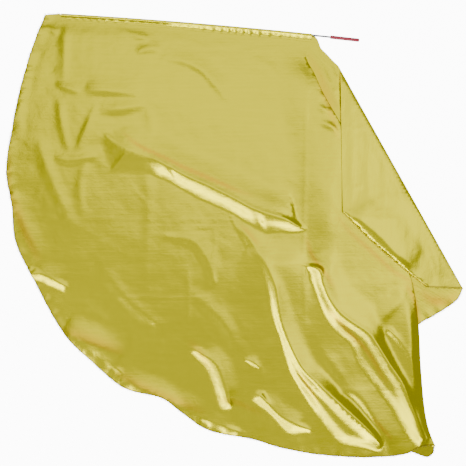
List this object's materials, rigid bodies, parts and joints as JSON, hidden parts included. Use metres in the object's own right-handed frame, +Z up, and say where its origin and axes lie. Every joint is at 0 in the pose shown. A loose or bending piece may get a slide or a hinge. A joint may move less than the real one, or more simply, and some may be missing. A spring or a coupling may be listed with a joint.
{
  "type": "worship flag cloth on a rod with a grip",
  "caption": "Half-round metallic gold flag cloth laid flat, its straight edge cased on a thin rod with a short hand grip; the right side is pleated and folded back over the sheet.",
  "frame": {"origin": "middle of the base, on the surface that the flag lies on", "axes": "+Z up from the surface; +X along the rod's edge towards the grip; +Y from the round hem towards the rod"},
  "size_m": [1.6142, 1.5676, 0.0305],
  "materials": {
    "gold_lame": "metallic",
    "grey_fibreglass": "smooth",
    "red_vinyl": "satin"
  },
  "bodies": {
    "root": {"flag_cloth": "gold_lame", "rod": "grey_fibreglass", "grip": "red_vinyl"}
  },
  "joints": []
}
